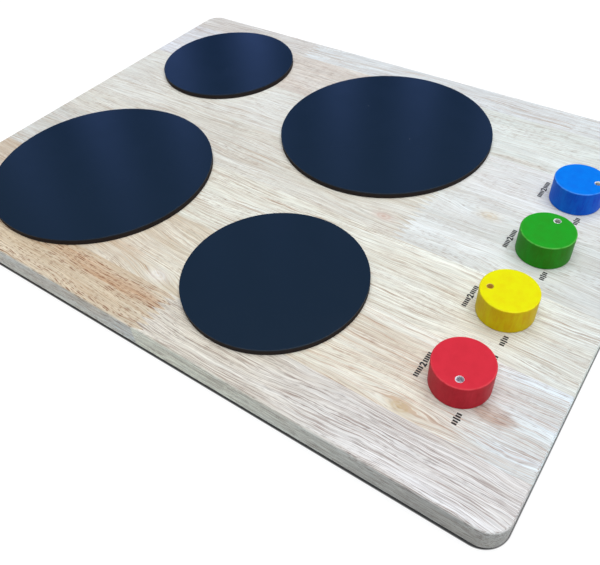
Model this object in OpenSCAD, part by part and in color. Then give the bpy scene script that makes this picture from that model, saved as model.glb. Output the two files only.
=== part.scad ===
// Toy cooktop: a play hob for a small child. A panel of finger-jointed wooden
// staves carries four glued burner discs and four knobs that turn on screws.
// Origin: the centre of the panel's outline, on the surface it stands on.
// +X runs along the long side towards the knobs, +Y to the back, +Z up.

/* [Panel] */
// Length of the panel, left to right
board_w = 480; // [440:1:600]
// Depth of the panel, front to back
board_d = 360; // [345:1:400]
// Thickness of the panel
board_t = 18; // [14:0.5:25]
// Radius of the panel's corners, seen from above
corner_r = 13; // [5:0.5:20]
// Radius of the panel's rounded top and bottom edges
edge_r = 1.5; // [0.5:0.1:3]

/* [Staves] */
// Width left on the front stave after the panel was trimmed
front_stave_w = 33.3; // [25:0.1:55]
// Width left on the rear stave after the panel was trimmed
rear_stave_w = 28.3; // [25:0.1:55]
// Wanted spacing of the fingers in a joint
finger_pitch = 4.8; // [3:0.1:12]
// Length of the fingers along the grain
finger_l = 10; // [4:0.5:14]
// Joint in stave 1, the front one, from the panel's left end
joint_1 = 246; // [30:1:410]
// Joint in stave 2, from the panel's left end
joint_2 = 293; // [30:1:410]
// Joint in stave 3, from the panel's left end
joint_3 = 108; // [30:1:410]
// Joint in stave 4, from the panel's left end
joint_4 = 338; // [30:1:410]
// Left joint in stave 5, from the panel's left end
joint_5a = 210; // [30:1:225]
// Right joint in stave 5, from the panel's left end
joint_5b = 330; // [250:1:410]
// Left joint in stave 6, from the panel's left end
joint_6a = 96; // [30:1:200]
// Right joint in stave 6, from the panel's left end
joint_6b = 274; // [220:1:410]
// Left joint in stave 7, the rear one, from the panel's left end
joint_7a = 138; // [30:1:200]
// Right joint in stave 7, from the panel's left end
joint_7b = 394; // [220:1:410]

/* [Burners] */
// Diameter of the two large burner discs
large_burner_d = 168; // [130:1:175]
// Diameter of the two small burner discs
small_burner_d = 121; // [80:1:130]
// Thickness of the burner discs
burner_t = 4.3; // [2:0.1:8]
// Radius of a burner disc's top edge
burner_edge_r = 0.5; // [0.2:0.1:1]
// Bare margin between the panel's left edge and the discs
burner_margin_x = 25; // [12:1:30]
// Bare margin between the panel's front and back edges and the discs
burner_margin_y = 18; // [12:0.5:22]
// Length of the field that the four discs fill, left to right
burner_field_w = 328; // [315:1:340]

/* [Knobs] */
// Diameter of a knob
knob_d = 35; // [28:0.5:44]
// Height of a knob
knob_h = 18; // [15:0.5:30]
// Radius of a knob's rounded edges
knob_edge_r = 0.8; // [0.3:0.1:2]
// Distance from the panel's right edge to the knob axes
knob_inset = 55; // [30:1:60]
// Distance from the panel's front edge to the first knob's axis
first_knob_inset = 69.5; // [45:0.5:80]
// Distance from the panel's back edge to the last knob's axis
last_knob_inset = 107.5; // [100:0.5:125]
// Diameter of the marker hole in a knob's top
marker_d = 4.6; // [2:0.1:6]
// Depth of the marker hole
marker_depth = 4; // [1:0.5:8]
// Distance from a knob's rim to the centre of its marker hole
marker_inset = 6.2; // [4.5:0.1:8]
// Direction of the red knob's marker, in degrees from +X towards +Y
red_marker_angle = -74; // [-180:1:360]
// Direction of the yellow knob's marker
yellow_marker_angle = 196; // [-180:1:360]
// Direction of the green knob's marker
green_marker_angle = 81; // [-180:1:360]
// Direction of the blue knob's marker
blue_marker_angle = 3; // [-180:1:360]

/* [Knob screws] */
// Diameter of a screw's shank
screw_d = 4; // [3:0.1:5]
// Length of the screw inside the knob
screw_grip = 12; // [8:0.5:13]
// Length of the screw's pointed tip
screw_tip_l = 3; // [1:0.5:5]
// Depth that the thread bites into the knob's wood
thread_bite = 0.3; // [0.1:0.05:0.6]
// Diameter of a screw's head
screw_head_d = 8; // [6.5:0.1:9]
// Height of a screw's head
screw_head_h = 2.8; // [2:0.1:3.5]
// Width of the slots of the cross in a screw's head
drive_slot_w = 1.1; // [0.6:0.1:1.6]
// Depth of the cross in a screw's head
drive_depth = 1.6; // [0.8:0.1:1.8]
// Diameter of a washer
washer_d = 10; // [9.5:0.1:12]
// Thickness of a washer
washer_t = 1; // [0.5:0.1:2]
// Depth of the screw head's face below the panel's underside
head_recess = 1.2; // [0.5:0.1:2]

/* [Feet] */
// Diameter of a foot pad
foot_d = 20; // [10:0.5:30]
// Thickness of a foot pad
foot_t = 1.5; // [1:0.1:4]
// Distance from the panel's edges to a foot pad's centre
foot_inset = 24; // [18:1:32]

/* [Fits] */
// Radial clearance of a turning screw in the panel
turning_gap = 0.08; // [0.02:0.01:0.1]
// Radial clearance of a washer on its screw
washer_gap = 0.1; // [0.05:0.05:0.4]
// Radial clearance round a washer in its counterbore
counterbore_gap = 1; // [0.5:0.1:2]
// Clearance past the screw's tip in the knob
tip_gap = 0.5; // [0.2:0.1:1]

/* [Hidden] */
$fn = 64;

// Reaches past a face, so that a cut goes right through it
past = 1;

stave_count = 7;
panel_bottom = foot_t;
panel_top = foot_t + board_t;
full_stave_w = (board_d - front_stave_w - rear_stave_w) / (stave_count - 2);
stave_joints = [
    [joint_1], [joint_2], [joint_3], [joint_4],
    [joint_5a, joint_5b], [joint_6a, joint_6b], [joint_7a, joint_7b]
];

knob_r = knob_d / 2;
knob_x = board_w / 2 - knob_inset;
knob_count = 4;
knob_pitch = (board_d - first_knob_inset - last_knob_inset) / (knob_count - 1);
marker_r = knob_r - marker_inset;
counterbore_r = washer_d / 2 + counterbore_gap;
counterbore_depth = head_recess + screw_head_h + washer_t;
washer_bottom = panel_bottom + head_recess + screw_head_h;
screw_top = panel_top + screw_grip;

// Colours of the real pieces
wood_pale = [0.88, 0.86, 0.82];
wood_warm = [0.83, 0.76, 0.68];
burner_colour = [0.12, 0.17, 0.25];
knob_red_colour = [0.84, 0.22, 0.28];
knob_yellow_colour = [0.92, 0.91, 0.02];
knob_green_colour = [0.18, 0.63, 0.18];
knob_blue_colour = [0.08, 0.48, 0.89];
steel_colour = [0.70, 0.70, 0.72];
foot_colour = [0.08, 0.08, 0.08];

// Front edge of stave s, counted from 0 at the front
function stave_start(s) =
    s == 0 ? -board_d / 2
    : s == stave_count ? board_d / 2
    : -board_d / 2 + front_stave_w + (s - 1) * full_stave_w;

// Place of knob k, counted from 0 at the front
function knob_y(k) = -board_d / 2 + first_knob_inset + k * knob_pitch;

// Points of a finger joint's zigzag, from the front to the back of stave s
function fingers(s, x) =
    let (
        y0 = stave_start(s),
        w = stave_start(s + 1) - y0,
        n = max(1, round(w / finger_pitch))
    )
    [for (i = [0 : 2 * n])
        [x + (i % 2 == 0 ? -1 : 1) * finger_l / 2, y0 + i * w / (2 * n)]];

// End line of block p in stave s: a joint, or straight past the panel's end
function block_end(s, p) =
    let (joints = stave_joints[s])
    p == 0 ? straight_end(s, -board_w / 2 - past)
    : p > len(joints) ? straight_end(s, board_w / 2 + past)
    : fingers(s, joints[p - 1] - board_w / 2);

function straight_end(s, x) = [[x, stave_start(s)], [x, stave_start(s + 1)]];

function reversed(points) = [for (i = [len(points) - 1 : -1 : 0]) points[i]];

// Cross section of a plate, w wide and t thick, with rounded long edges
module rounded_section(w, t, r) {
    union() {
        translate([-w / 2 + r, 0]) square([w - 2 * r, t]);
        translate([-w / 2, r]) square([w, t - 2 * r]);
        for (x = [-1, 1], z = [r, t - r])
            translate([x * (w / 2 - r), z]) circle(r);
    }
}

// The whole panel before it is divided into blocks
module panel() {
    run_x = board_w - 2 * corner_r;
    run_y = board_d - 2 * corner_r;
    translate([0, 0, panel_bottom]) union() {
        rotate([90, 0, 90])
            linear_extrude(run_x, center = true)
                rounded_section(board_d, board_t, edge_r);
        rotate([90, 0, 0])
            linear_extrude(run_y, center = true)
                rounded_section(board_w, board_t, edge_r);
        for (x = [-run_x / 2, run_x / 2], y = [-run_y / 2, run_y / 2])
            translate([x, y, 0]) panel_corner();
    }
}

module panel_corner() {
    rotate_extrude() intersection() {
        rounded_section(2 * corner_r, board_t, edge_r);
        square([corner_r, board_t]);
    }
}

// Bore and counterbore for the screw of knob k, cut from below
module knob_bore(k) {
    translate([knob_x, knob_y(k), 0]) {
        cylinder(h = panel_top + past, r = screw_d / 2 + turning_gap);
        cylinder(h = panel_bottom + counterbore_depth, r = counterbore_r);
    }
}

// One block of wood: part p of stave s, both counted from 0
module stave_block(s, p) {
    is_last = p == len(stave_joints[s]);
    color((s + p) % 2 == 0 ? wood_warm : wood_pale) difference() {
        intersection() {
            panel();
            linear_extrude(panel_top + past)
                polygon(concat(block_end(s, p), reversed(block_end(s, p + 1))));
        }
        if (is_last)
            for (k = [0 : knob_count - 1]) knob_bore(k);
    }
}

// Burner disc of diameter d in the field's corner: left or right is -1 or 1,
// and front or back is -1 or 1
module burner(d, left_right, front_back) {
    field_left = -board_w / 2 + burner_margin_x;
    field_mid = field_left + burner_field_w / 2;
    x = field_mid + left_right * (burner_field_w / 2 - d / 2);
    y = front_back * (board_d / 2 - burner_margin_y - d / 2);
    color(burner_colour) translate([x, y, panel_top])
        rotate_extrude() union() {
            square([d / 2, burner_t - burner_edge_r]);
            square([d / 2 - burner_edge_r, burner_t]);
            translate([d / 2 - burner_edge_r, burner_t - burner_edge_r])
                circle(burner_edge_r);
        }
}

// Knob k with its blind marker hole and the pilot hole for its screw
module knob(k, colour, marker_angle) {
    color(colour) translate([knob_x, knob_y(k), panel_top]) difference() {
        rotate_extrude() intersection() {
            rounded_section(knob_d, knob_h, knob_edge_r);
            square([knob_r, knob_h]);
        }
        rotate([0, 0, marker_angle])
            translate([marker_r, 0, knob_h - marker_depth])
                cylinder(h = marker_depth + past, d = marker_d);
        translate([0, 0, -past])
            cylinder(h = past + screw_grip + tip_gap, r = screw_d / 2 - thread_bite);
    }
}

// Pan-head wood screw under knob k, driven up through the panel
module screw(k) {
    shank_top = screw_top - screw_tip_l;
    head_bottom = panel_bottom + head_recess;
    color(steel_colour) translate([knob_x, knob_y(k), 0]) difference() {
        rotate_extrude() polygon([
            [0, head_bottom],
            [screw_head_d / 2 - screw_head_h / 3, head_bottom],
            [screw_head_d / 2, head_bottom + screw_head_h / 3],
            [screw_head_d / 2, washer_bottom],
            [screw_d / 2, washer_bottom],
            [screw_d / 2, shank_top],
            [0, screw_top]
        ]);
        for (turn = [0, 90])
            rotate([0, 0, turn])
                translate([-screw_head_d / 4, -drive_slot_w / 2, head_bottom - past])
                    cube([screw_head_d / 2, drive_slot_w, past + drive_depth]);
    }
}

// Flat washer between the screw's head and the panel
module washer(k) {
    color(steel_colour) translate([knob_x, knob_y(k), washer_bottom]) difference() {
        cylinder(h = washer_t, d = washer_d);
        translate([0, 0, -past])
            cylinder(h = washer_t + 2 * past, r = screw_d / 2 + washer_gap);
    }
}

// Stick-on foot pad: left or right and front or back are -1 or 1
module foot(left_right, front_back) {
    x = left_right * (board_w / 2 - foot_inset);
    y = front_back * (board_d / 2 - foot_inset);
    color(foot_colour) translate([x, y, 0]) cylinder(h = foot_t, d = foot_d);
}

stave_block(0, 0);  // stave_1_left
stave_block(0, 1);  // stave_1_right
stave_block(1, 0);  // stave_2_left
stave_block(1, 1);  // stave_2_right
stave_block(2, 0);  // stave_3_left
stave_block(2, 1);  // stave_3_right
stave_block(3, 0);  // stave_4_left
stave_block(3, 1);  // stave_4_right
stave_block(4, 0);  // stave_5_left
stave_block(4, 1);  // stave_5_middle
stave_block(4, 2);  // stave_5_right
stave_block(5, 0);  // stave_6_left
stave_block(5, 1);  // stave_6_middle
stave_block(5, 2);  // stave_6_right
stave_block(6, 0);  // stave_7_left
stave_block(6, 1);  // stave_7_middle
stave_block(6, 2);  // stave_7_right
burner(small_burner_d, -1, 1);  // burner_rear_left
burner(large_burner_d, 1, 1);  // burner_rear_right
burner(large_burner_d, -1, -1);  // burner_front_left
burner(small_burner_d, 1, -1);  // burner_front_right
knob(0, knob_red_colour, red_marker_angle);  // knob_red
knob(1, knob_yellow_colour, yellow_marker_angle);  // knob_yellow
knob(2, knob_green_colour, green_marker_angle);  // knob_green
knob(3, knob_blue_colour, blue_marker_angle);  // knob_blue
screw(0);  // screw_red
screw(1);  // screw_yellow
screw(2);  // screw_green
screw(3);  // screw_blue
washer(0);  // washer_red
washer(1);  // washer_yellow
washer(2);  // washer_green
washer(3);  // washer_blue
foot(-1, -1);  // foot_front_left
foot(1, -1);  // foot_front_right
foot(-1, 1);  // foot_rear_left
foot(1, 1);  // foot_rear_right
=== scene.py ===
import math

import bmesh
import bpy
import numpy as np
from mathutils import Euler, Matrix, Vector


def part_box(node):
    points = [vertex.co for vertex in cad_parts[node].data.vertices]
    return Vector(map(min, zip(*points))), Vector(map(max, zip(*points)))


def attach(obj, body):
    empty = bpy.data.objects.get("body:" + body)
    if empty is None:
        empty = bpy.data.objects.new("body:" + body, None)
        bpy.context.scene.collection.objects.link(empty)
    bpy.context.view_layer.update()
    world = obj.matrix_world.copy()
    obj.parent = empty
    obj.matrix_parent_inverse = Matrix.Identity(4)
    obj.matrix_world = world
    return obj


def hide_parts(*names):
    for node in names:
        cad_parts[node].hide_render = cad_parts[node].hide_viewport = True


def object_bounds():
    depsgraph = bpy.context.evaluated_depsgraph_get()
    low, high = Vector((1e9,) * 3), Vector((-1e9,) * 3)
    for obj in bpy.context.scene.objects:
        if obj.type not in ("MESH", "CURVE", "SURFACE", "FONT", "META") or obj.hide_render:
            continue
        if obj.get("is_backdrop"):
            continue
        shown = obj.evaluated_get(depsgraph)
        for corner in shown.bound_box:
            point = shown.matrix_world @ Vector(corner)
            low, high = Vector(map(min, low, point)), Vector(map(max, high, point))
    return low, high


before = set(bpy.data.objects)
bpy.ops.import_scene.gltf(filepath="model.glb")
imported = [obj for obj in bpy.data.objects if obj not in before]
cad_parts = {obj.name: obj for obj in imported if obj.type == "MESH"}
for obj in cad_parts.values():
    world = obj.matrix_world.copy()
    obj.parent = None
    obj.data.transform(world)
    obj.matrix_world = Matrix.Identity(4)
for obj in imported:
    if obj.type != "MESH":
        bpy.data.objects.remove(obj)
cad_low, cad_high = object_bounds()

# Camera: the photograph looks down on the front right corner from close by, with
# a short lens, so the far corner is drawn small. The frame is a piece cut out of
# a larger picture, which the small shift stands for.
camera_place = (0.24367, -0.31199, 0.30851)
camera_turn = (0.75307, 0.04495, 0.60056)
camera_lens_mm = 38.05
camera_shift = (-0.0261, 0.0127)
sensor_mm = 36


def new_object(name, data):
    """An object in the scene, at its origin, that carries the data."""
    made = bpy.data.objects.new(name, data)
    bpy.context.scene.collection.objects.link(made)
    return made


camera_data = bpy.data.cameras.new("camera")
camera_data.sensor_width = sensor_mm
camera_data.lens = camera_lens_mm
camera_data.shift_x, camera_data.shift_y = camera_shift
camera_data.clip_start = 0.01
camera = new_object("camera", camera_data)
camera.location = camera_place
camera.rotation_euler = Euler(camera_turn)
bpy.context.scene.camera = camera
bpy.context.scene.view_settings.view_transform = "Standard"


# Studio: one large round lamp overhead, weak ones low in front and on the right, and a
# dim plain dome. Behind on the left it has cool upright stripes, like a wall of blinds,
# which the satin discs mirror. The plain white floor keeps a light shadow. Under the panel
# and in a thin strip just beside its edge its glow is off and its tone darker: a painted
# contact shadow in the narrow gap. Seen from below it is clear, above a bright dome.
dome_strength = 0.20
stripes = 46
stripe_phase = 3.02
stripe_low, stripe_high = 0.36, 0.84
blinds_toward = math.radians(112)
floor_size = 12.0
floor_tone = 0.82
floor_tone_seen = 0.26
# tone of the painted contact shadow under the panel and just beside its edge
painted_gap_shadow_tone = 0.10
floor_glow = 0.78
glow_near, glow_far = 0.4, 2.2
panel_corner = 0.015
painted_gap_shadow_blur = 0.0008
painted_gap_shadow_overreach = 0.00014


def add(tree, kind, values=(), **settings):
    """A new shader node. values maps its inputs to plain values or to sockets to link."""
    made = tree.nodes.new(kind)
    for key, value in settings.items():
        setattr(made, key, value)
    for key, value in dict(values).items():
        if isinstance(value, bpy.types.NodeSocket):
            tree.links.new(value, made.inputs[key])
        else:
            made.inputs[key].default_value = value
    return made


def calc(tree, operation, *values):
    """A Math node's result."""
    return add(tree, "ShaderNodeMath", enumerate(values), operation=operation).outputs[0]


def ramp(tree, value, low, high, reach=1.0):
    """0 below low, reach above high and smooth between."""
    values = {"Value": value, "From Min": low, "From Max": high, "To Max": reach}
    return add(tree, "ShaderNodeMapRange", values, interpolation_type="SMOOTHSTEP").outputs[0]


def mix(tree, share, a, b, blend="MIX"):
    """Colour a where share is 0 and b where it is 1."""
    values = {0: share, 6: a, 7: b}
    return add(tree, "ShaderNodeMix", values, data_type="RGBA", blend_type=blend).outputs[2]


def blank(owner):
    """The emptied node tree of a new material or world."""
    owner.use_nodes = True
    owner.node_tree.nodes.clear()
    return owner.node_tree


def object_point(tree):
    """The place on the piece, in metres of the shared frame."""
    return add(tree, "ShaderNodeTexCoord").outputs["Object"]


def grey(value):
    """A plain grey as a shader's colour."""
    return (value, value, value, 1)


world = bpy.data.worlds.new("studio")
bpy.context.scene.world = world
tree = blank(world)
rays = add(tree, "ShaderNodeLightPath").outputs
toward = add(tree, "ShaderNodeTexCoord").outputs["Generated"]
east, north, up = add(tree, "ShaderNodeSeparateXYZ", {0: toward}).outputs
heading = calc(tree, "ARCTAN2", north, east)
wave = calc(tree, "SINE", calc(tree, "MULTIPLY_ADD", heading, stripes, stripe_phase))
stripe = calc(tree, "POWER", calc(tree, "MULTIPLY_ADD", wave, 0.5, 0.5), 2.0)
blinds = mix(tree, stripe, (0.00, 0.00, 0.30, 1), (1.45, 2.35, 6.60, 1))
toward_blinds = calc(tree, "COSINE", calc(tree, "SUBTRACT", heading, blinds_toward))
sky = mix(tree, ramp(tree, toward_blinds, 0.55, 0.85), (0.40, 0.55, 0.75, 1), blinds)
sky = mix(tree, ramp(tree, up, stripe_low, stripe_high), sky, (0.90, 1.00, 1.15, 1))
sky = mix(tree, ramp(tree, up, -0.12, -0.04), grey(4.0), sky)
dome = add(tree, "ShaderNodeBackground", {"Color": sky, "Strength": dome_strength})
white = add(tree, "ShaderNodeBackground", {"Color": grey(1), "Strength": 1.0})
backdrop = {0: rays["Is Camera Ray"], 1: dome.outputs[0], 2: white.outputs[0]}
backdrop = add(tree, "ShaderNodeMixShader", backdrop)
add(tree, "ShaderNodeOutputWorld", {"Surface": backdrop.outputs[0]})


def softbox(name, place, size, power, tint):
    """A round lamp of that size in metres, aimed at the middle of the object."""
    data = bpy.data.lights.new(name, "AREA")
    data.shape = "DISK"
    data.size = size
    data.energy = power
    data.color = tint
    lamp = new_object(name, data)
    lamp.location = place
    lamp.rotation_euler = (-Vector(place)).to_track_quat("-Z", "Y").to_euler()


softbox("overhead_softbox", (0.30, 0.05, 2.7), 3.1, 89.5, (1.0, 1.0, 0.98))
softbox("front_softbox", (-0.6, -2.2, 1.2), 2.0, 7.0, (1.0, 0.99, 0.96))
softbox("right_softbox", (2.2, -0.3, 0.7), 1.2, 8.0, (0.84, 0.92, 1.0))

half = floor_size / 2
floor_mesh = bpy.data.meshes.new("floor")
corners = [(-half, -half, 0), (half, -half, 0), (half, half, 0), (-half, half, 0)]
floor_mesh.from_pydata(corners, [], [(0, 1, 2, 3)])
floor = new_object("floor", floor_mesh)
floor_material = bpy.data.materials.new("white_floor")
tree = blank(floor_material)
rays = add(tree, "ShaderNodeLightPath").outputs
east, north, _ = add(tree, "ShaderNodeSeparateXYZ", {0: object_point(tree)}).outputs
limits = [(east, cad_high[0] - panel_corner + painted_gap_shadow_overreach), (north, cad_high[1] - panel_corner)]
beyond = [calc(tree, "MAXIMUM", calc(tree, "SUBTRACT", calc(tree, "ABSOLUTE", place), limit), 0.0)
          for place, limit in limits]
reach = calc(tree, "SQRT", calc(tree, "ADD", *[calc(tree, "POWER", value, 2.0) for value in beyond]))
# clear is 0 under the panel and in a thin strip just outside its edge: there the camera sees no glow and a
# darker tone, a painted contact shadow in the gap
clear = ramp(tree, reach, panel_corner, panel_corner + painted_gap_shadow_blur)
shine = calc(tree, "ADD", floor_glow, ramp(tree, reach, glow_near, glow_far, 1.0 - floor_glow))
shine = calc(tree, "MULTIPLY", calc(tree, "MULTIPLY", clear, rays["Is Camera Ray"]), shine)
seen = mix(tree, clear, grey(painted_gap_shadow_tone), grey(floor_tone_seen))
tone = mix(tree, rays["Is Camera Ray"], grey(floor_tone), seen)
paper = add(tree, "ShaderNodeBsdfDiffuse", {"Color": tone})
glow = add(tree, "ShaderNodeEmission", {"Color": grey(1), "Strength": shine})
lit = add(tree, "ShaderNodeAddShader", {0: paper.outputs[0], 1: glow.outputs[0]})
behind = add(tree, "ShaderNodeNewGeometry").outputs["Backfacing"]
from_below = calc(tree, "MAXIMUM", behind, calc(tree, "MINIMUM", rays["Transparent Depth"], 1.0))
glass = add(tree, "ShaderNodeBsdfTransparent")
surface = add(tree, "ShaderNodeMixShader", {0: from_below, 1: lit.outputs[0], 2: glass.outputs[0]})
add(tree, "ShaderNodeOutputMaterial", {"Surface": surface.outputs[0]})
floor_mesh.materials.append(floor_material)
floor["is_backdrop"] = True


# Panel: staves of pale rubberwood, finger-jointed end to end, glued edge to edge
# and sanded flat. Each block is cut from another plank, so each has its own tone,
# grain, knots and pores. The wood is bare, with at most a thin matt oil.
MM = 1000


def linear(red, green, blue):
    """A paint-card colour, 0 to 255, as the linear colour that a shader takes."""
    share = np.array([red, green, blue]) / 255
    low, high = share / 12.92, ((share + 0.055) / 1.055) ** 2.4
    return (*np.where(share <= 0.04045, low, high), 1.0)


def chained(tree, operation):
    """A function that runs one Math operation through any number of values."""
    def run(*values):
        result = values[0]
        for value in values[1:]:
            result = calc(tree, operation, result, value)
        return result
    return run


def noise(tree, at, scale, detail=2.0, rough=0.5):
    """Cloudy noise about 0.5."""
    values = {"Vector": at, "Scale": scale, "Detail": detail, "Roughness": rough}
    return add(tree, "ShaderNodeTexNoise", values).outputs[0]


def relief(tree, height, strength, distance):
    """A normal bent by a height."""
    values = {"Height": height, "Strength": strength, "Distance": distance}
    return add(tree, "ShaderNodeBump", values).outputs[0]


def shade(tree, values):
    """The material's shader, with those values, on its output."""
    shader = add(tree, "ShaderNodeBsdfPrincipled", values)
    add(tree, "ShaderNodeOutputMaterial", {"Surface": shader.outputs[0]})


def figure_group(name, inputs):
    """A node group that gives a colour, a roughness and a height. inputs lists the names of
    its inputs under their kinds. Returns the group and its input sockets."""
    group = bpy.data.node_groups.new(name, "ShaderNodeTree")
    for kind, titles in inputs.items():
        for title in titles:
            group.interface.new_socket(title, in_out="INPUT", socket_type="NodeSocket" + kind)
    for title, kind in {"Color": "Color", "Roughness": "Float", "Height": "Float"}.items():
        group.interface.new_socket(title, in_out="OUTPUT", socket_type="NodeSocket" + kind)
    return group, add(group, "NodeGroupInput").outputs


def timber_group():
    """Wood figure in millimetres along X. Soft bands follow the distance from the log's centre
    line, long fine lines and short dark pores run along the grain, the grain parts round a knot,
    one stretch of the block may be darker heartwood with an uneven outline, and the tone may
    drift from one end of the block to the other, partly in the wood's own tone and partly as
    painted cool light and shade. The sawn sides take a tint of painted light and shade."""
    group, source = figure_group("timber", {
        "Vector": ["Point", "Shift", "Pith", "Knot", "Patch", "Patch reach", "Drift span"],
        "Color": ["Pale", "Cool", "Band", "Streak", "Pore", "Heart", "Eye", "Drift",
                  "Side start", "Side finish"],
        "Float": ["Side", "Bands", "Streaks", "Pores", "Hair", "Slant", "Knot size", "Knot tone"]})
    product, total = chained(group, "MULTIPLY"), chained(group, "ADD")

    def less(a, b):
        return calc(group, "SUBTRACT", a, b)

    def vector(a, b, operation):
        return add(group, "ShaderNodeVectorMath", {0: a, 1: b}, operation=operation).outputs[0]

    def split(value):
        return add(group, "ShaderNodeSeparateXYZ", {0: value}).outputs

    def dimmed(colour, share):
        share = add(group, "ShaderNodeCombineColor", {0: share, 1: share, 2: share}).outputs[0]
        return mix(group, 1.0, colour, share, "MULTIPLY")

    def drawn_out(along, over, shift, radial=False):
        """The point, with along and over steps per millimetre with the grain and across it."""
        up = 0.0 if radial else product(z, over)
        at = {0: product(x, along), 1: product(ring if radial else across, over), 2: up}
        at = add(group, "ShaderNodeCombineXYZ", at).outputs[0]
        return vector(vector(at, source["Shift"], "ADD"), shift, "ADD")

    def figure(along, over, shift, detail=3.0, rough=0.6, radial=False):
        """Noise drawn out along the grain."""
        return noise(group, drawn_out(along, over, shift, radial), 1.0, detail, rough)

    def lines(along, over, shift, low, high, detail=4.0):
        """Long thin marks: the crests of drawn-out noise."""
        return ramp(group, figure(along, over, shift, detail), low, high)

    def dashes(along, over, keep, shift):
        """Short marks: a share of the cells of a drawn-out Voronoi pattern, each with a soft edge."""
        at = drawn_out(along, over, shift)
        cell = add(group, "ShaderNodeTexVoronoi", {"Vector": at, "Scale": 1.0}).outputs
        body = less(1.0, ramp(group, cell["Distance"], 0.12, 0.44))
        drawn = add(group, "ShaderNodeSeparateColor", {0: cell["Color"]}).outputs[0]
        return product(body, ramp(group, drawn, keep, keep + 0.1))

    point = add(group, "ShaderNodeVectorMath", {0: source["Point"], "Scale": MM}, operation="SCALE")
    point = point.outputs[0]
    x, y, z = split(point)

    # the grain swells round the knot, in an ellipse three times as long as wide
    dx, dy, _ = split(vector(point, source["Knot"], "SUBTRACT"))
    long = calc(group, "DIVIDE", dx, product(source["Knot size"], 3.0))
    wide = calc(group, "DIVIDE", dy, source["Knot size"])
    near = calc(group, "EXPONENT", product(total(product(long, long), product(wide, wide)), -1.0))
    bend = product(dy, near, source["Knot tone"], 0.9)

    # slow waves, quick small waves and a slant carry the grain across the block
    across = y
    sway = less(figure(0.0065, 0.020, (1, 2, 3), 2.0, 0.5), 0.5)
    waver = less(figure(0.030, 0.09, (9, 4, 6), 3.0, 0.55), 0.5)
    across = total(less(y, bend), product(sway, 22.0), product(waver, 3.4), product(x, source["Slant"]))

    # bands at a distance from the pith, which runs along X outside the block
    _, pith_y, pith_z = split(source["Pith"])
    off_y, off_z = less(across, pith_y), less(z, pith_z)
    ring = calc(group, "SQRT", total(product(off_y, off_y), product(off_z, off_z)))
    broad = ramp(group, figure(0.004, 0.085, (0, 0, 0), 3.0, 0.6, True), 0.40, 0.62)
    cool = ramp(group, figure(0.005, 0.11, (14, 52, 8), 2.0, 0.5, True), 0.42, 0.60)
    medium = ramp(group, figure(0.009, 0.36, (31, 7, 3), 4.0, 0.6, True), 0.42, 0.62)

    # lines: white ones, broad faint brown ones and fine brown ones in loose bunches, and hairs
    bunch = ramp(group, figure(0.016, 0.12, (70, 3, 5), 3.0), 0.38, 0.60)
    white = lines(0.016, 1.20, (5, 33, 71), 0.53, 0.63)
    wide_brown = product(lines(0.010, 0.55, (41, 9, 66), 0.53, 0.66), total(0.35, product(bunch, 0.65)))
    fine_brown = product(lines(0.020, 1.50, (22, 90, 2), 0.53, 0.60, 3.0), total(0.30, product(bunch, 0.70)))
    hair = lines(0.028, 2.05, (63, 18, 40), 0.55, 0.61, 2.0)
    fibre = ramp(group, figure(0.040, 2.1, (5, 50, 9), 3.0, 0.6), 0.38, 0.62)

    # pores: open vessels that the plane cut lengthwise, dark dashes in two sizes
    patchy = ramp(group, figure(0.008, 0.09, (60, 2, 8), 3.0), 0.42, 0.62)
    large = product(dashes(0.085, 1.10, 0.60, (3, 11, 17)), 0.90)
    small = product(dashes(0.20, 2.0, 0.45, (40, 4, 23)), 0.95)

    # heartwood: a long patch whose outline wanders
    px, _, _ = split(vector(point, source["Patch"], "SUBTRACT"))
    _, patch_y, _ = split(source["Patch"])
    half_x, half_y, depth = split(source["Patch reach"])
    px = calc(group, "DIVIDE", px, half_x)
    py = calc(group, "DIVIDE", less(across, patch_y), half_y)
    wander = less(figure(0.02, 0.25, (12, 61, 7), 3.0), 0.5)
    edge = total(product(px, px), product(py, py), product(wander, 3.4))
    heart = product(less(1.0, ramp(group, edge, 0.25, 1.40)), depth)

    # knot: a small eye of thin rings in a soft stain
    eye = calc(group, "SQRT", total(product(dx, dx, 0.30), product(dy, dy)))
    eye = calc(group, "DIVIDE", total(eye, product(waver, 2.4)), source["Knot size"])
    rings = total(0.5, product(calc(group, "SINE", product(eye, 24.0)), 0.5))
    stain = product(less(1.0, ramp(group, eye, 0.15, 0.95)), 0.55)
    core = total(product(less(1.0, ramp(group, eye, 0.20, 0.48)), rings, 0.55), stain)

    # the layers, from the ground tone up to the pores
    pores = product(total(large, small), total(0.22, product(patchy, 0.78), product(heart, 0.9)))
    pores = product(pores, source["Pores"], total(1.0, product(source["Side"], -0.5)))
    pores = calc(group, "MINIMUM", pores, 1.0)
    colour = mix(group, product(cool, 0.75), source["Pale"], source["Cool"])
    banding = product(total(product(broad, 0.62), product(medium, 0.38)), source["Bands"])
    colour = mix(group, banding, colour, source["Band"])
    colour = mix(group, product(heart, total(0.55, product(medium, 0.45))), colour, source["Heart"])
    paler = product(white, total(0.48, product(heart, -0.30)), source["Streaks"])
    colour = mix(group, paler, colour, source["Cool"])
    brown = total(product(wide_brown, less(0.50, product(source["Hair"], 0.40))),
                  product(fine_brown, 0.66), product(hair, source["Hair"]))
    brown = calc(group, "MINIMUM", product(brown, source["Streaks"]), 1.0)
    colour = mix(group, brown, colour, source["Streak"])
    colour = dimmed(colour, total(0.865, product(fibre, 0.21)))
    colour = mix(group, product(core, source["Knot tone"]), colour, source["Eye"])
    colour = mix(group, product(pores, 0.78), colour, source["Pore"])
    # the drift is partly the wood's own tone and partly painted light: on the right-hand blocks it makes the
    # right end bluer or darker, a painted cool light and shade
    start, finish, much = split(source["Drift span"])
    drift = mix(group, 1.0, colour, source["Drift"], "MULTIPLY")
    colour = mix(group, product(ramp(group, x, start, finish), much), colour, drift)
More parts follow.
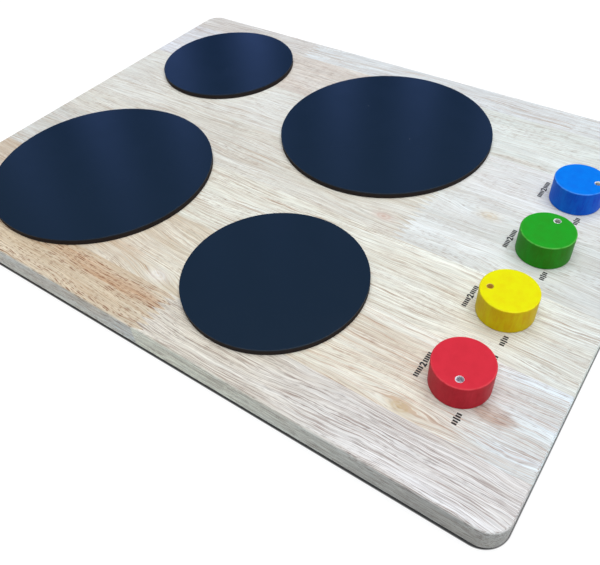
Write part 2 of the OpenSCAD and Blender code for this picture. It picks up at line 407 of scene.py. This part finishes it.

    # the sawn sides are mottled, and their colour is multiplied by a tint that goes from one end to the
    # other: painted light and shade on the sides, paler and bluer at the left and darker towards the right
    # end
    mottle = product(ramp(group, figure(0.07, 0.55, (8, 8, 80)), 0.44, 0.62), -0.16)
    mottle = total(product(pores, -0.25), mottle, 1.0)
    tint = mix(group, ramp(group, x, 40.0, 230.0), source["Side start"], source["Side finish"])
    darker = dimmed(mix(group, 1.0, colour, tint, "MULTIPLY"), mottle)
    colour = mix(group, source["Side"], colour, darker)
    rough = total(0.54, product(fibre, 0.08), product(pores, 0.25))
    height = less(total(product(fibre, 0.30), product(white, 0.12)), pores)
    add(group, "NodeGroupOutput", {"Color": colour, "Roughness": rough, "Height": height})
    return group


timber = timber_group()
plain = {"pale": (222, 222, 213), "cool": (232, 236, 233), "band": (203, 196, 181), "streak": (174, 150, 128),
         "pore": (140, 110, 90), "heart": (196, 160, 124), "eye": (200, 172, 138), "bands": 0.70,
         "streaks": 0.85, "pores": 0.75, "slant": 0.0, "pith": (-40, -60), "knot": (0, 0), "knot_size": 8,
         "knot_tone": 0.0, "patch": (0, 0), "patch_reach": (40, 6, 0.0), "drift": (1, 1, 1),
         "drift_span": (0, 1, 0), "hair": 0.42, "side_painted_light_start": (1.0, 1.08, 1.06),
         "side_painted_light_finish": (1.0, 1.08, 1.06)}
# Each block's own look. Places are in millimetres: a knot's and a patch's from the panel's
# centre, and the pith's from the block's front edge and underside. A patch's reach is half
# its length, half its width and how dark it is. A drift multiplies the colour by more and
# more of itself between two places along X, which the span names with its share.
# On the right-hand blocks the drifts are partly painted cool light, bluer or darker towards their right ends.
# The side tints are painted light and shade on the sawn sides: paler and bluer at the left end of the front,
# darker towards the right end.
blocks = {
    "stave_1_left": {
        "pale": (212, 197, 171), "cool": (224, 212, 189), "band": (192, 169, 141), "streak": (162, 127, 96),
        "pore": (124, 76, 46), "heart": (192, 152, 116), "pores": 2.1, "streaks": 0.85,
        "patch": (-48, -156), "patch_reach": (70, 6, 0.75), "drift": (1.05, 1.12, 1.20),
        "drift_span": (-34, 12, 1), "side_painted_light_start": (1.03, 1.23, 1.55), "side_painted_light_finish": (1.03, 1.23, 1.55)},
    "stave_1_right": {
        "pale": (222, 217, 205), "cool": (232, 229, 219), "band": (205, 196, 180), "streak": (160, 144, 131),
        "pore": (118, 102, 92), "streaks": 1.0, "drift": (0.965, 0.99, 1.10), "drift_span": (30, 205, 1),
        "hair": 0.75, "side_painted_light_start": (1.15, 1.25, 1.24), "side_painted_light_finish": (0.62, 0.63, 0.60)},
    "stave_2_left": {
        "pale": (209, 197, 179), "cool": (225, 217, 203), "band": (193, 175, 153), "streak": (169, 137, 105),
        "drift": (1.09, 1.16, 1.17), "drift_span": (-110, 10, 1),
        "heart": (198, 166, 134), "patch": (-80, -139), "patch_reach": (60, 6, 0.5),
        "eye": (228, 221, 220), "knot": (-15, -139), "knot_size": 9, "knot_tone": 0.5, "slant": 0.10},
    "stave_2_right": {
        "pale": (225, 222, 207), "cool": (237, 238, 229), "band": (205, 192, 171), "streak": (184, 154, 131),
        "pore": (140, 104, 86), "eye": (192, 170, 130), "knot": (165, -142), "knot_size": 8,
        "knot_tone": 0.75, "heart": (176, 142, 116), "patch": (209, -121), "patch_reach": (13, 6, 1.0),
        "hair": 0.75, "drift": (0.91, 1.01, 1.19), "drift_span": (168, 218, 1)},
    "stave_3_left": {"pale": (210, 210, 203), "cool": (221, 223, 219), "band": (192, 190, 178)},
    "stave_3_right": {
        "pale": (230, 230, 218), "cool": (240, 243, 234), "band": (210, 205, 188), "bands": 0.6, "hair": 0.6,
        "drift": (0.915, 0.94, 0.99), "drift_span": (165, 222, 1)},
    "stave_4_left": {
        "pale": (220, 219, 209), "cool": (232, 234, 228), "band": (203, 198, 185), "eye": (198, 172, 158),
        "knot": (80, -12), "knot_size": 8, "knot_tone": 0.9},
    "stave_4_right": {
        "pale": (221, 223, 220), "cool": (234, 239, 238), "band": (202, 203, 197), "streak": (178, 163, 145),
        "eye": (208, 192, 164), "knot": (142, 26), "knot_size": 9, "knot_tone": 0.7,
        "streaks": 0.55, "drift": (0.89, 0.89, 0.89), "drift_span": (140, 225, 1)},
    "stave_5_left": {"pale": (226, 227, 221), "cool": (235, 237, 233), "band": (210, 208, 198)},
    "stave_5_middle": {"pale": (222, 224, 220), "cool": (231, 234, 232), "band": (206, 205, 197)},
    "stave_5_right": {
        "pale": (222, 223, 221), "cool": (230, 232, 231), "band": (204, 207, 201), "bands": 0.5,
        "streaks": 0.5},
    "stave_6_left": {"pale": (221, 223, 227), "cool": (233, 237, 243), "band": (203, 203, 202)},
    "stave_6_middle": {
        "pale": (220, 215, 206), "cool": (230, 228, 221), "band": (200, 190, 180), "streak": (176, 153, 136)},
    "stave_6_right": {
        "pale": (218, 223, 217), "cool": (226, 232, 228), "band": (203, 207, 200), "bands": 0.5,
        "streaks": 0.5, "heart": (206, 196, 182), "patch": (137, 95), "patch_reach": (26, 3, 0.5)},
    "stave_7_left": {
        "pale": (223, 221, 216), "cool": (237, 239, 237), "band": (200, 194, 186), "streak": (170, 154, 141),
        "bands": 0.9, "streaks": 1.0},
    "stave_7_middle": {
        "pale": (221, 226, 227), "cool": (232, 239, 240), "band": (207, 209, 207), "heart": (200, 176, 152),
        "patch": (-76, 151), "patch_reach": (16, 3, 0.6)},
    "stave_7_right": {"pale": (216, 221, 220), "cool": (224, 230, 231), "band": (205, 209, 207)},
}


def timber_material(name, look, seed):
    """The wood of one block, with its own place in the figure."""
    low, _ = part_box(name)
    made = bpy.data.materials.new("wood_" + name)
    tree = blank(made)
    facing = add(tree, "ShaderNodeNewGeometry").outputs["True Normal"]
    upward = add(tree, "ShaderNodeSeparateXYZ", {0: facing}).outputs[2]
    colours = ("pale", "cool", "band", "streak", "pore", "heart", "eye")
    amounts = ("bands", "streaks", "pores", "slant", "hair")
    pith_y, pith_z = look["pith"]
    figure = add(tree, "ShaderNodeGroup", {
        **{key.capitalize(): linear(*look[key]) for key in colours},
        **{key.capitalize(): look[key] for key in amounts},
        "Point": object_point(tree), "Shift": (seed * 37.7, seed * 11.3, seed * 5.9),
        "Side": calc(tree, "SUBTRACT", 1.0, calc(tree, "ABSOLUTE", upward)),
        "Pith": (0, low.y * MM + pith_y, low.z * MM + pith_z),
        "Knot": (*look["knot"], 0), "Knot size": look["knot_size"], "Knot tone": look["knot_tone"],
        "Patch": (*look["patch"], 0), "Patch reach": look["patch_reach"],
        "Drift": (*look["drift"], 1), "Drift span": look["drift_span"],
        "Side start": (*look["side_painted_light_start"], 1), "Side finish": (*look["side_painted_light_finish"], 1),
    }, node_tree=timber).outputs
    shade(tree, {"Base Color": figure["Color"], "Roughness": figure["Roughness"], "Specular IOR Level": 0.25,
                 "Normal": relief(tree, figure["Height"], 0.25, 0.0002)})
    return made


def dress(node, material):
    """A CAD node keeps its shape and gets a material."""
    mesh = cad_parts[node].data
    mesh.materials.clear()
    mesh.materials.append(material)


for seed, (node, look) in enumerate(blocks.items()):
    dress(node, timber_material(node, {**plain, **look}, seed + 1))


# Printed marks: one numeral on each of three sides of a knob, in the middle of a short
# row of ticks, set along the panel's depth. A thin film of black ink on the bare wood.
ink_height = 0.00003
numeral_size = 0.0053
stroke_weight = 0.00026
# numeral, place along X and Y from the knob's axis in millimetres, and ticks on each side
printed = [("2", -22.3, 0.0, 5), ("1", 8.7, -21.9, 2), ("3", 9.3, 22.4, 2)]
tick_height, tick_width, tick_pitch, tick_gap = 2.9, 1.10, 1.60, 0.62
panel_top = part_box("stave_4_left")[1].z


def spread(tree, value, low, high, start, finish):
    """start below low, finish above high and straight between."""
    values = {"Value": value, "From Min": low, "From Max": high, "To Min": start, "To Max": finish}
    return add(tree, "ShaderNodeMapRange", values).outputs[0]


ink = bpy.data.materials.new("black_ink")
tree = blank(ink)
thin = spread(tree, noise(tree, object_point(tree), 2600.0, 3.0), 0.60, 0.75, 0.0, 0.20)
shade(tree, {"Base Color": mix(tree, thin, linear(6, 6, 10), linear(70, 66, 62)), "Roughness": 0.55})


def listed(items, key, width):
    """One property of many mesh elements, as an array with that many columns."""
    values = np.empty(len(items) * width, np.float32)
    items.foreach_get(key, values)
    return values.reshape(-1, width).astype(float)


def numeral_outline(text):
    """The faces of one numeral about its own middle, reading along +Y with its head towards -X."""
    curve = bpy.data.curves.new("numeral", "FONT")
    curve.body = text
    curve.size = numeral_size
    curve.offset = stroke_weight
    curve.align_x, curve.align_y = "CENTER", "CENTER"
    curve.extrude = ink_height / 2
    drawn = new_object("numeral", curve)
    bpy.context.view_layer.update()
    mesh = bpy.data.meshes.new_from_object(drawn.evaluated_get(bpy.context.evaluated_depsgraph_get()))
    corners = listed(mesh.vertices, "co", 3)
    faces = [tuple(face.vertices) for face in mesh.polygons]
    bpy.data.objects.remove(drawn)
    corners[:, :2] -= (corners[:, :2].min(0) + corners[:, :2].max(0)) / 2
    return corners @ np.array([[0, 1, 0], [-1, 0, 0], [0, 0, 1]]), faces


def tick_outline():
    """A flat bar of ink about its own middle, its width along Y."""
    size = np.array([tick_height / MM, tick_width / MM, ink_height]) / 2
    signs = np.array([(x, y, z) for z in (-1, 1) for y in (-1, 1) for x in (-1, 1)])
    faces = [(0, 2, 3, 1), (4, 5, 7, 6), (0, 1, 5, 4), (2, 6, 7, 3), (0, 4, 6, 2), (1, 3, 7, 5)]
    return signs * size, faces


def printed_mark(name, numeral, place, ticks):
    """One numeral with its ticks, as one piece of ink on the panel at place."""
    centre = np.array([*place, panel_top + ink_height])
    outline, faces = numeral_outline(numeral)
    first = np.ptp(outline[:, 1]) / 2 + (tick_gap + tick_width / 2) / MM
    shapes = [(outline, faces, 0.0)]
    for step in range(ticks):
        shapes += [(*tick_outline(), side * (first + step * tick_pitch / MM)) for side in (-1, 1)]
    corners, polygons = [], []
    for points, loops, along in shapes:
        start = sum(len(block) for block in corners)
        corners.append(points + centre + (0, along, 0))
        polygons += [tuple(start + i for i in loop) for loop in loops]
    mesh = bpy.data.meshes.new(name)
    mesh.from_pydata(np.concatenate(corners), [], polygons)
    mesh.materials.append(ink)
    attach(new_object(name, mesh), "cooktop")


for colour in ("red", "yellow", "green", "blue"):
    low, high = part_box("knob_" + colour)
    for numeral, x, y, ticks in printed:
        place = ((low.x + high.x) / 2 + x / MM, (low.y + high.y) / 2 + y / MM)
        printed_mark(f"mark_{colour}_{numeral}", numeral, place, ticks)


# Burner discs: round plates of thin board, faced with a smooth satin blue-black
# laminate that mirrors a little. The sawn edge shows a dark core. They are glued down.
sharp_angle = math.radians(35)
facing_thickness = 0.0008
burner_edge = 0.00012
burner_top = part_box("burner_rear_left")[1].z


def ringed(name, rings, material, looped=False, marks=()):
    """A closed surface through rings of points, as an array of rings by points around by 3.
    Rings that shrink to one point are merged there, a looped surface joins its last ring
    to its first, and the faces are turned outwards. marks names a value for each point."""
    count, around, _ = rings.shape
    index = np.arange(count * around).reshape(count, around)
    start, end = (index, np.roll(index, -1, 0)) if looped else (index[:-1], index[1:])
    quads = np.stack([start, np.roll(start, -1, 1), np.roll(end, -1, 1), end], -1).reshape(-1, 4)
    mesh = bpy.data.meshes.new(name)
    mesh.from_pydata(rings.reshape(-1, 3), [], quads.tolist())
    for key, values in dict(marks).items():
        mesh.attributes.new(key, "FLOAT", "POINT").data.foreach_set("value", np.asarray(values, np.float32))
    solid = bmesh.new()
    solid.from_mesh(mesh)
    bmesh.ops.remove_doubles(solid, verts=solid.verts, dist=1e-7)
    bmesh.ops.recalc_face_normals(solid, faces=solid.faces)
    solid.to_mesh(mesh)
    solid.free()
    mesh.polygons.foreach_set("use_smooth", np.ones(len(mesh.polygons), bool))
    mesh.set_sharp_from_angle(angle=sharp_angle)
    mesh.materials.append(material)
    return new_object(name, mesh)


def arc(radius, start, end, steps):
    """Radius and height steps of a rounded edge from angle start to end, in degrees."""
    turn = np.radians(np.linspace(start, end, steps + 1))
    return np.stack([radius * np.cos(turn), radius * np.sin(turn)], 1)


def turned(centre, profile, around):
    """Rings about a vertical axis: each row of the profile is a radius and a height."""
    turn = np.linspace(0, 2 * np.pi, around, endpoint=False)
    radius, height = profile[:, :1], profile[:, 1:]
    return np.stack([centre[0] + radius * np.cos(turn), centre[1] + radius * np.sin(turn),
                     height + 0 * turn], -1)


laminate = bpy.data.materials.new("satin_laminate")
tree = blank(laminate)
point = object_point(tree)
height = add(tree, "ShaderNodeSeparateXYZ", {0: point}).outputs[2]
arris = calc(tree, "SUBTRACT", 1.0, ramp(tree, height, burner_top - burner_edge, burner_top - 0.00001))
fleck = add(tree, "ShaderNodeTexVoronoi", {"Vector": point, "Scale": 170.0}).outputs
drawn = add(tree, "ShaderNodeSeparateColor", {0: fleck["Color"]}).outputs[0]
dust = calc(tree, "MULTIPLY", calc(tree, "SUBTRACT", 1.0, ramp(tree, fleck["Distance"], 0.02, 0.06)),
            ramp(tree, drawn, 0.975, 0.99))
face = mix(tree, calc(tree, "MULTIPLY", dust, 0.6), linear(17, 34, 51), linear(150, 154, 160))
rough = calc(tree, "ADD", 0.16, ramp(tree, noise(tree, point, 38.0, 4.0, 0.65), 0.35, 0.70, 0.03))
rough = calc(tree, "ADD", rough, calc(tree, "MULTIPLY", arris, 0.42))
shade(tree, {"Base Color": face, "Roughness": rough, "Specular IOR Level": 0.30,
             "Normal": relief(tree, noise(tree, point, 2200.0), 0.02, 0.00005)})

fibreboard = bpy.data.materials.new("dark_fibreboard")
tree = blank(fibreboard)
grain = noise(tree, object_point(tree), 2200.0)
sawn = mix(tree, ramp(tree, grain, 0.35, 0.65), linear(34, 28, 28), linear(48, 41, 40))
shade(tree, {"Base Color": sawn, "Roughness": 0.7, "Specular IOR Level": 0.1,
             "Normal": relief(tree, grain, 0.32, 0.00005)})

for place in ("rear_left", "rear_right", "front_left", "front_right"):
    low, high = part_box("burner_" + place)
    radius, centre = (high.x - low.x) / 2, (low + high) / 2
    rim = arc(burner_edge, 90, 0, 5) + (radius - burner_edge, high.z - burner_edge)
    profile = np.array([
        (0, high.z), (radius * 0.5, high.z), (radius - 2 * burner_edge, high.z), *rim,
        (radius, high.z - facing_thickness), (radius, low.z), (radius * 0.97, low.z), (0, low.z)])
    piece = ringed("burner_disc_" + place, turned(centre, profile, 192), laminate)
    piece.data.materials.append(fibreboard)
    core = listed(piece.data.polygons, "center", 3)[:, 2] < high.z - facing_thickness
    piece.data.polygons.foreach_set("material_index", core.astype(np.int32))
    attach(piece, "cooktop")
    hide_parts("burner_" + place)


# Knobs: turned wooden cylinders with satin paint, each with one small blind hole
# drilled near its rim after painting, so that bare wood and chips show round it.
# Each is held from below by its screw, and turns with it.
marker_radius = 0.0019
marker_depth = 0.0040
marker_offset = 0.0113
knob_edge = 0.0008
pilot_radius = 0.0017
pilot_depth = 0.0125
knob_turns = 160


def ripple(turn, seed, waves=(2, 3, 5, 7, 11, 13)):
    """A smooth closed wave round a ring, from -1 to 1, with its own phases for each seed."""
    phases = np.random.default_rng(seed).uniform(0, 2 * np.pi, len(waves))
    total = sum(np.sin(k * turn + phase) / math.sqrt(k) for k, phase in zip(waves, phases))
    return total / sum(1 / math.sqrt(k) for k in waves)


def knob_skin(low, high, angle, chip, chip_side, seed):
    """The whole skin of a knob as one run of rings: up out of the marker hole, across the top,
    over the rim, down the side, under, and up into the pilot hole. Between the marker hole and
    the rim the rings' centre slides from the hole's axis to the knob's. The chips reach furthest
    towards chip_side. Returns the rings, and for each point whether it is bare wood, how much
    of the painted highlight it takes on the rim, and how deep it is in the marker hole, from 0 to 1."""
    axis = np.array([(low.x + high.x) / 2, (low.y + high.y) / 2])
    radius, top, base = (high.x - low.x) / 2, high.z, low.z
    hole = axis + marker_offset * np.array([math.cos(angle), math.sin(angle)])
    turn = np.linspace(0, 2 * np.pi, knob_turns, endpoint=False)
    ragged = 0.5 + 0.5 * ripple(turn, seed) + 0.8 * np.cos(turn - chip_side)
    torn = chip * np.clip(ragged, 0.1, 1.4)
    wobble = 0.00003 * ripple(turn, seed + 50, (2, 3, 4))
    rows = []

    def ring(share, size, height, bare=0.0, painted_rim_highlight=0.0):
        """share 0 is centred on the marker hole, and 1 on the knob's axis."""
        rows.append((hole * (1 - share) + axis * share, size + 0 * turn, height + 0 * turn, bare, painted_rim_highlight))

    ring(0, 0, top - marker_depth, 1)
    ring(0, marker_radius * 0.9, top - marker_depth + 0.0006, 1)
    ring(0, marker_radius, top - marker_depth + 0.0008, 1)
    ring(0, marker_radius + 0.00003 * ripple(turn, seed + 9), top - 0.0007, 1)
    ring(0, marker_radius + 0.00004 + 0.1 * torn, top - 0.00030, 1)
    ring(0, marker_radius + 0.00008 + 0.55 * torn, top - 0.00012 - 0.1 * torn, 1)
    ring(0, marker_radius + 0.00012 + torn, top - 0.00005, 1)
    ring(0, marker_radius + 0.00020 + torn, top)
    ring(0, marker_radius + 0.00040 + torn, top)
    flat = radius - knob_edge - 0.0003
    for share in (0.25, 0.5, 0.75):
        ring(share, (marker_radius + 0.0009) * (1 - share) + flat * share, top)
    ring(1, flat, top)
    # the rim takes a paler tone: a painted highlight where the rounded rim catches the light
    painted_rim_highlight_share = (0.2, 0.6, 1, 1, 0.7, 0.3, 0)
    for painted_rim_highlight, (out, up) in zip(painted_rim_highlight_share, arc(knob_edge, 90, 0, len(painted_rim_highlight_share) - 1)):
        ring(1, radius - knob_edge + out + wobble, top - knob_edge + up, painted_rim_highlight=painted_rim_highlight)
    for share in (0.04, 0.2, 0.4, 0.6, 0.8, 0.96):
        ring(1, radius + wobble, (top - knob_edge) * (1 - share) + (base + knob_edge) * share)
    for out, up in arc(knob_edge, 0, -90, 6):
        ring(1, radius - knob_edge + out + wobble, base + knob_edge + up)
    ring(1, radius - knob_edge - 0.0003, base, 1)
    ring(1, pilot_radius, base, 1)
    ring(1, pilot_radius, base + pilot_depth, 1)
    ring(1, 0, base + pilot_depth, 1)
    rings = np.stack([
        np.stack([centre[0] + size * np.cos(turn), centre[1] + size * np.sin(turn), height], -1)
        for centre, size, height, _, _ in rows])
    by_hole = np.linalg.norm(rings[..., :2] - hole, axis=-1) < marker_radius + 0.0006
    depth = np.clip((top - 0.0002 - rings[..., 2]) / 0.0012, 0, 1) * by_hole
    return rings, {"bare": np.repeat([row[3] for row in rows], knob_turns),
                   "painted_rim_highlight": np.repeat([row[4] for row in rows], knob_turns), "deepness": depth.ravel()}


def painted_wood_group():
    """Satin paint on turned wood: faint blotches and lint on the flat, streaks up the side where
    the grain telegraphs through, over a darker tone on the whole side that is painted shade, a
    paler tone on the rim that is a painted highlight, and dry wood in the hole that grows darker
    deeper in, as painted shade."""
    group, source = figure_group("painted_wood", {
        "Vector": ["Point", "Axis"], "Color": ["Paint", "Deep", "Dust and rim highlight", "Wood", "Painted hole shade"],
        "Float": ["Upward", "Bare", "Painted_rim_highlight", "Deepness"]})
    product, total = chained(group, "MULTIPLY"), chained(group, "ADD")

    def shifted(a, b, operation):
        return add(group, "ShaderNodeVectorMath", {0: a, 1: b}, operation=operation).outputs[0]

    local = shifted(source["Point"], source["Axis"], "SUBTRACT")
    tall = shifted(local, (1, 1, 0.12), "MULTIPLY")
    flat = ramp(group, source["Upward"], 0.6, 0.95)
    side = calc(group, "SUBTRACT", 1.0, flat)
    blotch = ramp(group, noise(group, local, 120.0, 3.0, 0.6), 0.35, 0.75)
    streak = ramp(group, noise(group, tall, 900.0, 3.0, 0.6), 0.38, 0.70)
    broad = ramp(group, noise(group, tall, 170.0), 0.35, 0.70)
    # the whole side takes a steady share of the darker tone: painted shade, with the grain streaks on top of
    # it
    side_streaks_and_painted_shade = total(product(streak, 0.22), product(broad, 0.28), 0.22)
    deep = total(product(blotch, 0.22), product(side, side_streaks_and_painted_shade))
    colour = mix(group, deep, source["Paint"], source["Deep"])
    patchy = ramp(group, noise(group, local, 420.0, 3.0, 0.7), 0.25, 0.55)
    # the rim takes the paler tone in patches: a painted highlight on the rounded rim
    colour = mix(group, product(source["Painted_rim_highlight"], patchy, 0.42), colour, source["Dust and rim highlight"])
    dust = product(ramp(group, noise(group, local, 1500.0, 4.0, 0.7), 0.60, 0.72, 0.35),
                   ramp(group, noise(group, local, 90.0), 0.40, 0.60))
    colour = mix(group, dust, colour, source["Dust and rim highlight"])
    torn = calc(group, "SUBTRACT", noise(group, local, 1800.0), 0.5)
    dry = ramp(group, total(source["Bare"], product(torn, 0.7)), 0.35, 0.60)
    # deeper in the hole the wood takes a darker tone in patches: painted shade inside the recess
    painted_hole_shade = product(source["Deepness"], ramp(group, noise(group, local, 1300.0), 0.30, 0.62))
    colour = mix(group, dry, colour, mix(group, painted_hole_shade, source["Wood"], source["Painted hole shade"]))
    rough = total(0.40, product(blotch, 0.08), product(dry, 0.45))
    height = total(product(noise(group, local, 700.0), 0.5), product(streak, side, 0.5),
                   product(noise(group, local, 3200.0, 3.0), dry, 3.0))
    add(group, "NodeGroupOutput", {"Color": colour, "Roughness": rough, "Height": height})
    return group


painted_wood = painted_wood_group()


# Of the colours, deep also gives the side its painted shade, and thin is the tone of dust and of the painted
# rim highlight.
def knob_paint(colour, axis, paint, deep, thin, wood, painted_hole_shade):
    """One knob's paint, with a bit of its own wood showing."""
    made = bpy.data.materials.new("paint_" + colour)
    tree = blank(made)
    facing = add(tree, "ShaderNodeNewGeometry").outputs["Normal"]
    marks = {key: add(tree, "ShaderNodeAttribute", attribute_name=key.lower()).outputs["Fac"]
             for key in ("Bare", "Painted_rim_highlight", "Deepness")}
    film = add(tree, "ShaderNodeGroup", {
        "Point": object_point(tree), "Axis": axis, **marks,
        "Upward": add(tree, "ShaderNodeSeparateXYZ", {0: facing}).outputs[2],
        "Paint": linear(*paint), "Deep": linear(*deep), "Dust and rim highlight": linear(*thin),
        "Wood": linear(*wood), "Painted hole shade": linear(*painted_hole_shade)}, node_tree=painted_wood).outputs
    shade(tree, {"Base Color": film["Color"], "Roughness": film["Roughness"], "Specular IOR Level": 0.08,
                 "Normal": relief(tree, film["Height"], 0.30, 0.00006)})
    return made


# colour: direction of the marker hole in degrees, paint, its darker tone (for blotches, and as
# painted shade on the side), a paler tone for dust and the painted rim highlight, wood at the
# hole, the painted shade deep in it, how far chips reach in metres, towards which side
knob_looks = {
    "red": (-74, (204, 42, 58), (172, 28, 40), (230, 92, 98),
            (216, 212, 216), (150, 146, 160), 0.00045, 215),
    "yellow": (196, (223, 220, 0), (212, 156, 0), (236, 232, 40),
               (226, 196, 100), (196, 154, 66), 0.00012, 200),
    "green": (81, (32, 153, 32), (50, 110, 6), (126, 206, 104),
              (224, 226, 224), (96, 112, 84), 0.00060, 250),
    "blue": (3, (0, 118, 224), (12, 60, 196), (104, 172, 246),
             (216, 216, 214), (150, 150, 150), 0.00045, 120),
}
for seed, (colour, (angle, *paints, chip, chip_side)) in enumerate(knob_looks.items()):
    low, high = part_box("knob_" + colour)
    rings, marks = knob_skin(low, high, math.radians(angle), chip, math.radians(chip_side), 11 * seed + 3)
    axis = ((low.x + high.x) / 2, (low.y + high.y) / 2, low.z)
    piece = ringed("knob_turned_" + colour, rings, knob_paint(colour, axis, *paints), marks=marks)
    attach(piece, f"knob_{colour}_body")
    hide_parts("knob_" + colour)


# Knob screws: zinc-plated pan-head wood screws with a cross recess, driven from the
# underside through the panel into the knob. The thread is rolled on the upper shank.
cross_arm, cross_half_width, cross_depth = 0.0019, 0.00055, 0.0015
head_height = 0.0028
head_round = 0.0009
shank_radius = 0.002
thread_pitch = 0.0018
thread_depth = 0.00045
thread_start = 0.0200
thread_step = 0.0002
tip_length = 0.0030
screw_turns = 48


def cross_outline(turn):
    """Distance from the middle to the edge of a cross: each arm's end or side, whichever is nearer."""
    folded = np.abs((turn + np.pi / 4) % (np.pi / 2) - np.pi / 4)
    return np.minimum(cross_arm / np.cos(folded), cross_half_width / np.maximum(np.sin(folded), 1e-6))


def screw_skin(low, high):
    """Rings of a screw, from the floor of its recess, over the head and up the shank to the tip.
    On the thread the radius falls and rises once for each pitch of height less turn."""
    axis = ((low.x + high.x) / 2, (low.y + high.y) / 2)
    corner = math.atan2(cross_half_width, cross_arm)
    bends = [quarter * np.pi / 2 + side * bend
             for quarter in range(4) for side in (-1, 1) for bend in (corner, np.pi / 4)]
    turn = np.concatenate([np.linspace(0, 2 * np.pi, screw_turns, endpoint=False), bends])
    turn = np.unique(np.round(turn % (2 * np.pi), 6))
    cross = cross_outline(turn)
    head_radius = (high.x - low.x) / 2
    face, seat = low.z, low.z + head_height
    rows = [(0, face + cross_depth), (0.55 * cross, face + cross_depth * 0.9),
            (0.93 * cross, face + 0.0002), (1.0 * cross, face + 0.00003),
            (np.maximum(cross + 0.0002, 0.0021), face), (head_radius - head_round, face)]
    for out, up in arc(head_round, -90, 0, 6):
        rows.append((head_radius - head_round + out, face + head_round + up))
    rows += [(head_radius, seat), (shank_radius, seat), (shank_radius, thread_start)]
    for height in np.arange(thread_start + thread_step, high.z - 2 * thread_step, thread_step):
        lead = ((height - thread_start) / thread_pitch - turn / (2 * np.pi)) % 1
        root = 1 - np.abs(2 * lead - 1) ** 3
        taper = np.clip((high.z - height) / tip_length, 0, 1)
        fade = np.clip((height - thread_start) / thread_pitch, 0, 1)
        rows.append(((shank_radius - thread_depth * root * fade) * taper ** 0.8, height))
    rows.append((0, high.z))
    return np.stack([
        np.stack([axis[0] + size * np.cos(turn), axis[1] + size * np.sin(turn), height + 0 * turn], -1)
        for size, height in rows])


zinc = bpy.data.materials.new("zinc_plate")
tree = blank(zinc)
cloud = noise(tree, object_point(tree), 600.0, 3.0)
scuff = noise(tree, object_point(tree), 2600.0, 3.0)
shade(tree, {"Base Color": mix(tree, cloud, linear(176, 180, 186), linear(206, 206, 204)),
             "Metallic": 1.0, "Roughness": spread(tree, scuff, 0.3, 0.7, 0.22, 0.42),
             "Normal": relief(tree, scuff, 0.2, 0.00003)})

for colour in knob_looks:
    piece = ringed("wood_screw_" + colour, screw_skin(*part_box("screw_" + colour)), zinc)
    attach(piece, f"knob_{colour}_body")
    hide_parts("screw_" + colour)


# Washers: flat punched steel rings between the screw heads and the panel. The punch
# rounds one edge a little. They lie in the counterbores and don't turn.
washer_hole = 0.0021
punch_round = 0.0002
for colour in knob_looks:
    low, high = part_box("washer_" + colour)
    centre, outer = (low + high) / 2, (high.x - low.x) / 2
    lower, upper = low.z + punch_round, high.z - punch_round
    profile = np.concatenate([
        arc(punch_round, -90, 0, 3) + (outer - punch_round, lower),
        arc(punch_round, 0, 90, 3) + (outer - punch_round, upper),
        arc(punch_round, 90, 180, 3) + (washer_hole + punch_round, upper),
        arc(punch_round, 180, 270, 3) + (washer_hole + punch_round, lower)])
    piece = ringed("flat_washer_" + colour, turned(centre, profile, 64), zinc, looped=True)
    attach(piece, "cooktop")
    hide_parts("washer_" + colour)


# Foot pads: black stick-on rubber discs with a rounded lower edge, one near each
# corner of the underside, which keep the panel just clear of the table.
pad_round = 0.0004

rubber = bpy.data.materials.new("pad_rubber")
tree = blank(rubber)
point = object_point(tree)
bloom = noise(tree, point, 180.0, 4.0)
pebble = add(tree, "ShaderNodeTexVoronoi", {"Vector": point, "Scale": 1600.0}).outputs["Distance"]
shade(tree, {"Base Color": mix(tree, bloom, linear(20, 20, 22), linear(46, 45, 44)),
             "Roughness": spread(tree, bloom, 0.0, 1.0, 0.62, 0.85),
             "Normal": relief(tree, pebble, 0.4, 0.0001)})

for place in ("front_left", "front_right", "rear_left", "rear_right"):
    low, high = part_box("foot_" + place)
    centre, outer = (low + high) / 2, (high.x - low.x) / 2
    rim = arc(pad_round, -90, 0, 5) + (outer - pad_round, low.z + pad_round)
    profile = np.array([
        (0, low.z), (outer * 0.6, low.z), *rim, (outer, high.z), (outer * 0.6, high.z), (0, high.z)])
    piece = ringed("rubber_pad_" + place, turned(centre, profile, 96), rubber)
    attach(piece, "cooktop")
    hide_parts("foot_" + place)


# Bounds of the dressed model, like those of the CAD model taken above.
low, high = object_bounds()
